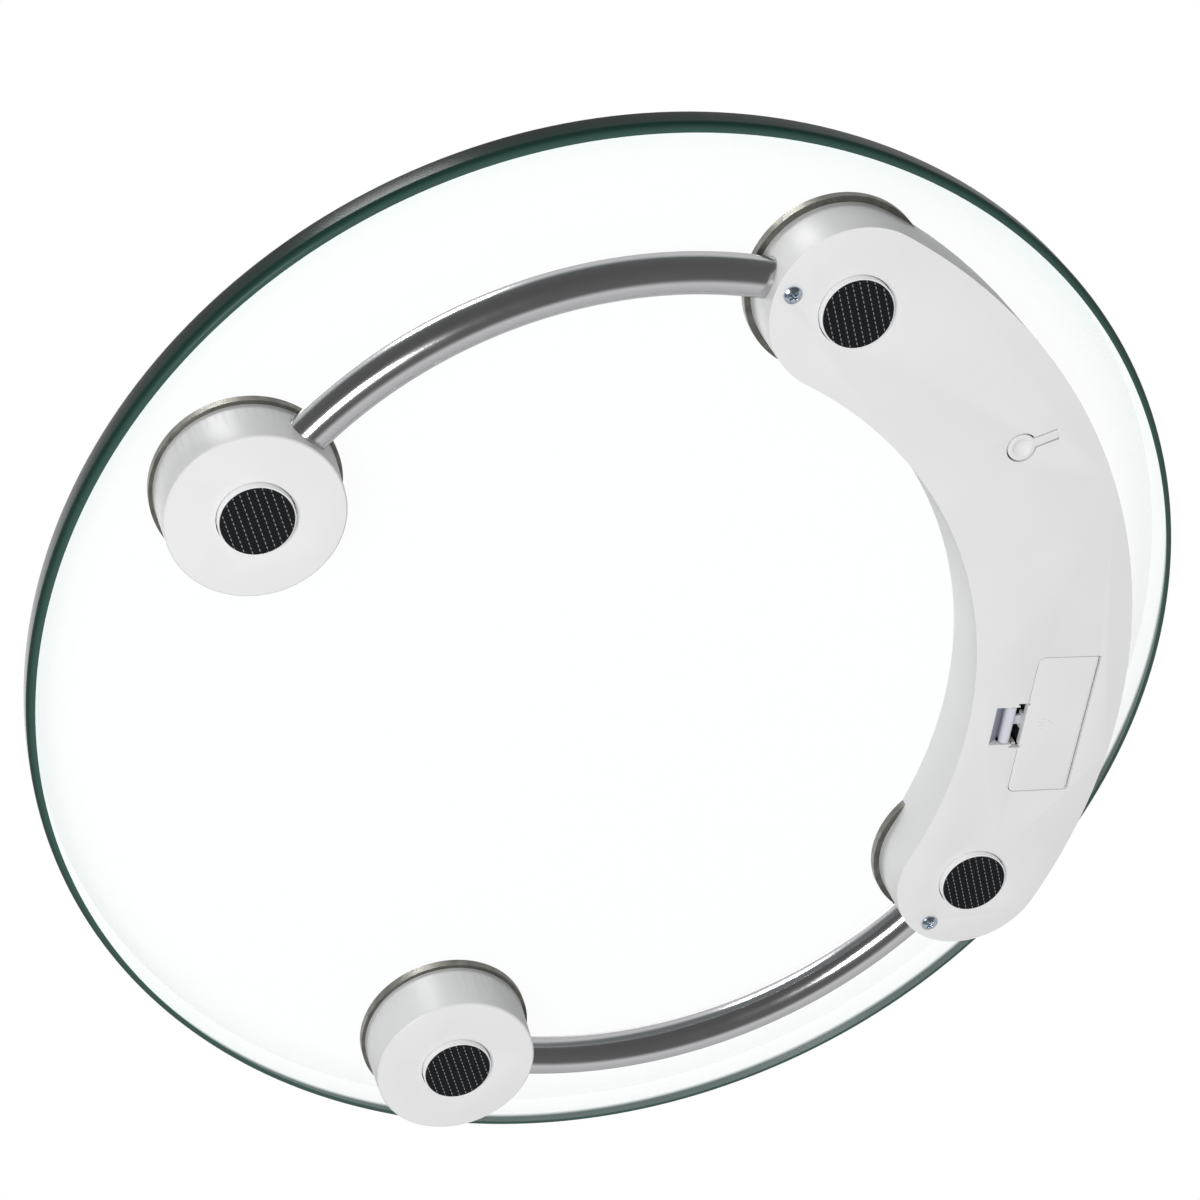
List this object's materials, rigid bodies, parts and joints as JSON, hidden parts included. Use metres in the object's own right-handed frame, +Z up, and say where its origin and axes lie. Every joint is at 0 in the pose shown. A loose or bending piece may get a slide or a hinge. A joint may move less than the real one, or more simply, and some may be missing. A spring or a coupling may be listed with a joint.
{
  "type": "digital bathroom scale",
  "caption": "Round glass bathroom scale on two round pods and a curved front housing joined by arched tubes, with sprung feet, unit button and battery door.",
  "frame": {"origin": "on the floor under the middle of the glass, at the underside of the rubber pads", "axes": "+Z up through the glass, +Y towards the curved housing and the display, +X to the right of a person standing on it"},
  "size_m": [0.33, 0.33, 0.0304],
  "materials": {
    "clear_glass": "clear tempered glass, polished rim with a deep green edge",
    "mounting_plate": "turned and brushed",
    "housing_plastic": "matt off-white face, satin silver walls",
    "cover_plastic": "satin silver",
    "window_acrylic": "clear",
    "chromed_tube": "polished",
    "plug_nylon": "moulded",
    "zinc_screw": "bright zinc plated",
    "cup_plastic": "moulded",
    "pad_rubber": "moulded with a woven ribbed face",
    "cell_steel": "stamped",
    "gauge_sealant": "cured white sealant",
    "lead_sheath": "soft PVC sheath",
    "board_laminate": "solder mask",
    "black_moulding": "moulded",
    "component_ceramic": "fired",
    "display_glass": "polarised, grey-green",
    "strip_silicone": "moulded",
    "box_plastic": "moulded",
    "cell_jacket": "shrunk plastic jacket",
    "contact_metal": "nickel plated",
    "wire_insulation": "extruded",
    "latch_plastic": "moulded"
  },
  "bodies": {
    "platform": {"glass_platform": "clear_glass", "plate_front_right": "mounting_plate", "plate_front_left": "mounting_plate", "plate_rear_right": "mounting_plate", "plate_rear_left": "mounting_plate", "pod_right": "housing_plastic", "pod_left": "housing_plastic", "front_housing": "housing_plastic", "top_cover": "cover_plastic", "display_window": "window_acrylic", "tube_right": "chromed_tube", "tube_left": "chromed_tube", "tube_plug_right": "plug_nylon", "tube_plug_left": "plug_nylon", "housing_screws": "zinc_screw", "load_cell_front_right": "cell_steel", "load_cell_front_left": "cell_steel", "load_cell_rear_right": "cell_steel", "load_cell_rear_left": "cell_steel", "strain_gauges": "gauge_sealant", "lead_front_right": "lead_sheath", "lead_front_left": "lead_sheath", "lead_rear_right": "lead_sheath", "lead_rear_left": "lead_sheath", "circuit_board": "board_laminate", "controller_chip": "black_moulding", "board_components": "component_ceramic", "board_screws": "zinc_screw", "display_panel": "display_glass", "display_bezel": "black_moulding", "contact_strips": "strip_silicone", "unit_switch": "black_moulding", "battery_box": "box_plastic", "battery_cell_inner": "cell_jacket", "battery_cell_outer": "cell_jacket", "contact_positive": "contact_metal", "contact_negative": "contact_metal", "contact_link": "contact_metal", "battery_wires": "wire_insulation"},
    "foot_front_right": {"foot_cup_front_right": "cup_plastic", "foot_pad_front_right": "pad_rubber"},
    "foot_front_left": {"foot_cup_front_left": "cup_plastic", "foot_pad_front_left": "pad_rubber"},
    "foot_rear_right": {"foot_cup_rear_right": "cup_plastic", "foot_pad_rear_right": "pad_rubber"},
    "foot_rear_left": {"foot_cup_rear_left": "cup_plastic", "foot_pad_rear_left": "pad_rubber"},
    "button": {"unit_button": "housing_plastic"},
    "door": {"battery_door": "housing_plastic"},
    "latch": {"door_latch": "latch_plastic"}
  },
  "joints": [
    {"name": "foot_front_right_travel", "type": "slide", "parent": "platform", "child": "foot_front_right", "axis": [0, 0, 1], "range_m": [0, 0.0004], "stiffness_N_per_m": 60000},
    {"name": "foot_front_left_travel", "type": "slide", "parent": "platform", "child": "foot_front_left", "axis": [0, 0, 1], "range_m": [0, 0.0004], "stiffness_N_per_m": 60000},
    {"name": "foot_rear_right_travel", "type": "slide", "parent": "platform", "child": "foot_rear_right", "axis": [0, 0, 1], "range_m": [0, 0.0004], "stiffness_N_per_m": 60000},
    {"name": "foot_rear_left_travel", "type": "slide", "parent": "platform", "child": "foot_rear_left", "axis": [0, 0, 1], "range_m": [0, 0.0004], "stiffness_N_per_m": 60000},
    {"name": "button_press", "type": "hinge", "parent": "platform", "child": "button", "pos_m": [0.04235, 0.12864, 0.0028], "axis": [-0.9994, 0.0349, 0], "range_deg": [0, 2], "stiffness_Nm_per_rad": 0.3},
    {"name": "door_swing", "type": "hinge", "parent": "platform", "child": "door", "pos_m": [-0.05692, 0.12141, 0.0036], "axis": [0.9323, 0.3616, 0], "range_deg": [0, 90]},
    {"name": "latch_squeeze", "type": "slide", "parent": "door", "child": "latch", "axis": [-0.3616, 0.9323, 0], "range_m": [0, 0.0012], "stiffness_N_per_m": 800}
  ]
}
